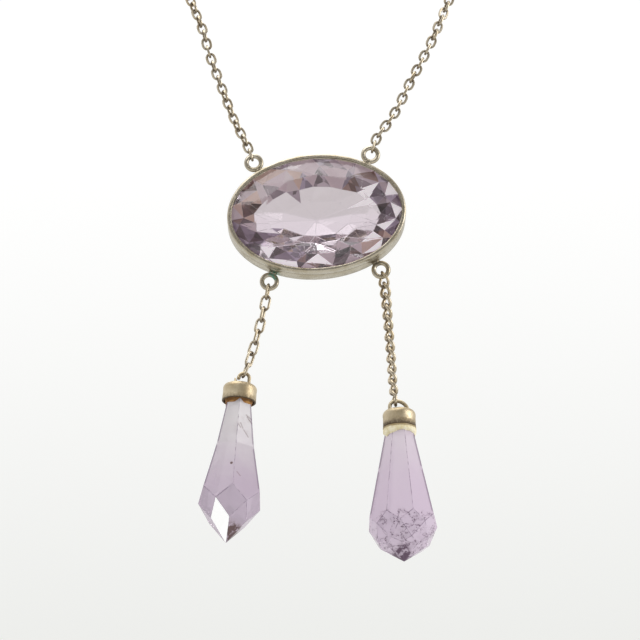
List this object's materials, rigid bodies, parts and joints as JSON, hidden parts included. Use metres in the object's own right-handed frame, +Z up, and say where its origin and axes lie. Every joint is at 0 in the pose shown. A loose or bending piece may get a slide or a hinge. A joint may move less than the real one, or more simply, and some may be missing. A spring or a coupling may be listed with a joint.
{
  "type": "lavaliere necklace",
  "caption": "Necklace with an oval faceted stone in a rub-over collet, a fine neck chain, and two long faceted drops in metal caps on short chains of unequal length.",
  "frame": {"origin": "centre of the neck, level with the chain at the nape, where the necklace hangs", "axes": "+Z up, -Y towards the front where the pendant hangs, +X to the right seen from the front"},
  "size_m": [0.1086, 0.1017, 0.182],
  "materials": {
    "silver_metal": "worn pale yellowish silver metal with brown tarnish in the corners and a little green at one ring",
    "chain_metal": "rubbed pale metal, dark between the links",
    "cap_metal": "dull greyish gold metal, scratched and stained",
    "centre_amethyst": "polished pale grey-lilac faceted stone",
    "drop_amethyst": "polished faceted stone, nearly clear above and lilac below, with inclusions",
    "brown_cement": "rough orange-brown cement",
    "cream_cement": "rough cream-yellow cement"
  },
  "bodies": {
    "neck_chain": {"neck_chain_left": "silver_metal", "neck_chain_right": "silver_metal", "neck_end_link_left": "silver_metal", "neck_end_link_right": "silver_metal", "clasp": "silver_metal", "clasp_link_left": "silver_metal", "clasp_link_right": "silver_metal"},
    "pendant": {"centre_collet": "silver_metal", "centre_stone": "centre_amethyst", "trace_link_1": "chain_metal", "trace_link_2": "chain_metal", "trace_link_3": "chain_metal", "trace_link_4": "chain_metal", "trace_link_5": "chain_metal", "trace_link_6": "chain_metal", "trace_link_7": "chain_metal", "trace_link_8": "chain_metal", "curb_link_1": "chain_metal", "curb_link_2": "chain_metal", "curb_link_3": "chain_metal", "curb_link_4": "chain_metal", "curb_link_5": "chain_metal", "curb_link_6": "chain_metal", "curb_link_7": "chain_metal", "curb_link_8": "chain_metal", "curb_link_9": "chain_metal", "curb_link_10": "chain_metal", "curb_link_11": "chain_metal", "curb_link_12": "chain_metal"},
    "left_drop": {"left_cap": "cap_metal", "left_cement": "brown_cement", "left_drop_stone": "drop_amethyst"},
    "right_drop": {"right_cap": "cap_metal", "right_cement": "cream_cement", "right_drop_stone": "drop_amethyst"}
  },
  "joints": [
    {"name": "pendant_swing", "type": "hinge", "parent": "neck_chain", "child": "pendant", "pos_m": [-0.00063, -0.05455, -0.11962], "axis": [0.9974, 0, 0.0719], "range_deg": [-60, 60]},
    {"name": "left_drop_swing", "type": "hinge", "parent": "pendant", "child": "left_drop", "pos_m": [-0.01026, -0.05189, -0.15228], "axis": [0.9965, 0, -0.0837], "range_deg": [-75, 75]},
    {"name": "right_drop_swing", "type": "hinge", "parent": "pendant", "child": "right_drop", "pos_m": [0.01123, -0.05189, -0.15646], "axis": [0.9996, 0, 0.0297], "range_deg": [-75, 75]}
  ]
}
